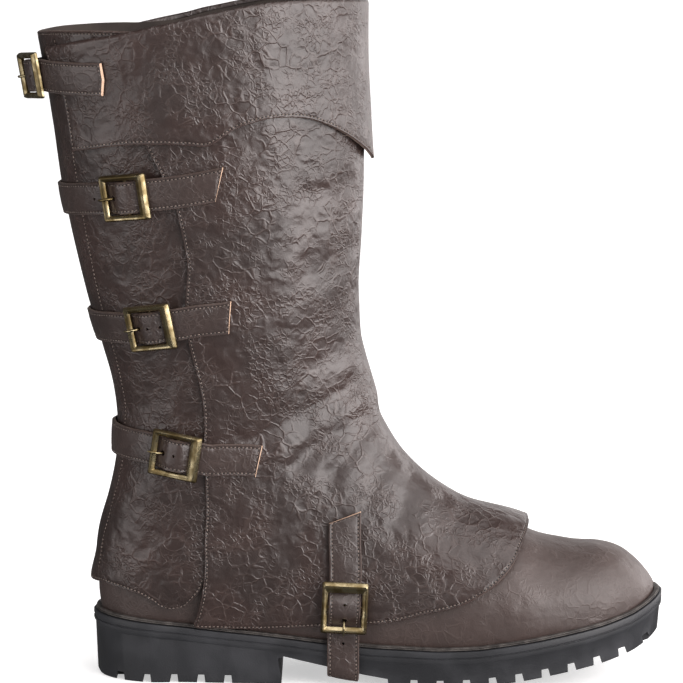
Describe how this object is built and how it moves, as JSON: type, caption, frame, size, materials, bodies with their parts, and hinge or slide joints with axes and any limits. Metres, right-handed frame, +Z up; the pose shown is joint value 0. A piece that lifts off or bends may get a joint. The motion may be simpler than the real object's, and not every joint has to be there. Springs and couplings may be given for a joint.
{
  "type": "mid-calf buckled boot",
  "caption": "Mid-calf pirate-style boot, right foot: lug sole with low heel, wrapped gaiter with fold-over scalloped cuff and buckled side straps.",
  "frame": {"origin": "on the floor under the middle of the heel block", "axes": "+X to the toe, -Y to the lateral side, +Y to the medial side, +Z up"},
  "size_m": [0.347, 0.1184, 0.3648],
  "materials": {
    "rubber": "matte moulded charcoal rubber",
    "welt": "grey-brown welt strip with stitching",
    "board": "plain insole board",
    "leather": "distressed dark brown faux leather, crackled, semi-gloss",
    "strap": "stitched dark brown strap with raw beige end",
    "brass": "antique brass, worn bright on its edges"
  },
  "bodies": {
    "root": {"buckle_foot": "brass", "buckle_lower": "brass", "buckle_middle": "brass", "buckle_top": "brass", "buckle_upper": "brass", "cuff": "leather", "gaiter_back": "leather", "gaiter_front": "leather", "insole": "board", "outsole": "rubber", "prong_foot": "brass", "prong_lower": "brass", "prong_middle": "brass", "prong_top": "brass", "prong_upper": "brass", "strap_foot": "strap", "strap_lower": "strap", "strap_middle": "strap", "strap_top": "strap", "strap_upper": "strap", "upper": "leather", "welt": "welt"}
  },
  "joints": []
}
